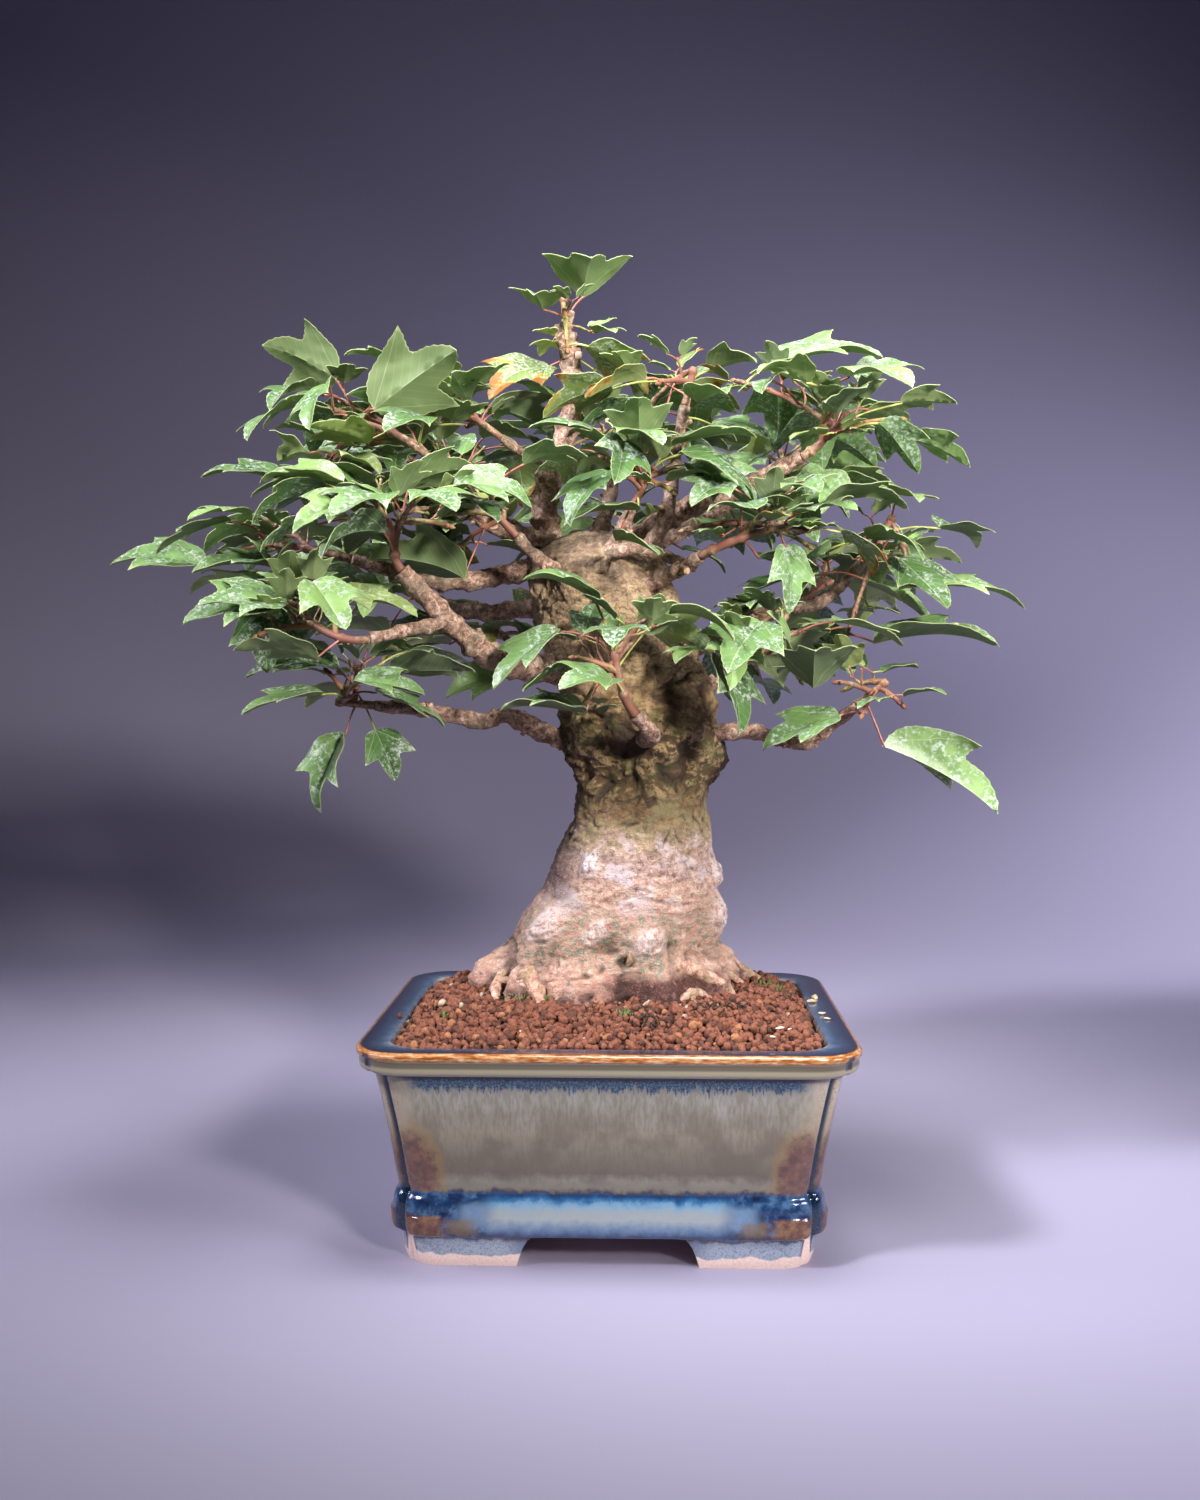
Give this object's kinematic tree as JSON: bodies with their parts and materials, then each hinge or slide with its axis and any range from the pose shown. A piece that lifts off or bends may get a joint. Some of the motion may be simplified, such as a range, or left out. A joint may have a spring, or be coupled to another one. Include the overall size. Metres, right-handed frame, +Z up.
{
  "type": "trident maple bonsai in pot",
  "caption": "Small trident maple bonsai with a thick flared trunk and a spreading leafy crown, in a glazed rectangular pot on four feet.",
  "frame": {"origin": "on the ground under the middle of the whole tree's footprint, the pot's feet at z = 0", "axes": "+X to the viewer's right along the pot's long side, +Y away from the viewer, +Z up"},
  "size_m": [0.336, 0.1872, 0.3544],
  "materials": {
    "pot_glaze": "gloss",
    "clay_granules": "matte",
    "trunk_bark": "rough",
    "bough_bark": "rough",
    "maple_leaf": "satin"
  },
  "bodies": {
    "root": {"pot": "pot_glaze", "soil": "clay_granules", "trunk": "trunk_bark", "leader": "bough_bark", "bough_low_left": "bough_bark", "bough_left": "bough_bark", "bough_left_fork": "bough_bark", "bough_far_left": "bough_bark", "bough_upper_left": "bough_bark", "bough_leader_left": "bough_bark", "bough_low_right": "bough_bark", "bough_right": "bough_bark", "bough_far_right": "bough_bark", "bough_right_mid": "bough_bark", "bough_upper_right": "bough_bark", "bough_upright": "bough_bark", "bough_front": "bough_bark", "bough_centre_left": "bough_bark", "bough_centre": "bough_bark", "bough_back_left": "bough_bark", "bough_back_low_left": "bough_bark", "bough_back_high_left": "bough_bark", "bough_back_top": "bough_bark", "bough_back_high_right": "bough_bark", "bough_back_right": "bough_bark", "bough_back_mid": "bough_bark", "bough_back_low_right": "bough_bark", "leaves_front": "maple_leaf", "leaves_low_left": "maple_leaf", "leaves_left_front": "maple_leaf", "leaves_left_mid": "maple_leaf", "leaves_far_left": "maple_leaf", "leaves_upper_left": "maple_leaf", "leaves_centre_left": "maple_leaf", "leaves_centre": "maple_leaf", "leaves_leader_left": "maple_leaf", "leaves_apex": "maple_leaf", "leaves_upright": "maple_leaf", "leaves_upper_right": "maple_leaf", "leaves_right_mid": "maple_leaf", "leaves_far_right": "maple_leaf", "leaves_right_front": "maple_leaf", "leaves_low_right": "maple_leaf", "leaves_back_left": "maple_leaf", "leaves_back_low_left": "maple_leaf", "leaves_back_high_left": "maple_leaf", "leaves_back_top": "maple_leaf", "leaves_back_high_right": "maple_leaf", "leaves_back_right": "maple_leaf", "leaves_back_mid": "maple_leaf", "leaves_back_low_right": "maple_leaf"}
  },
  "joints": []
}
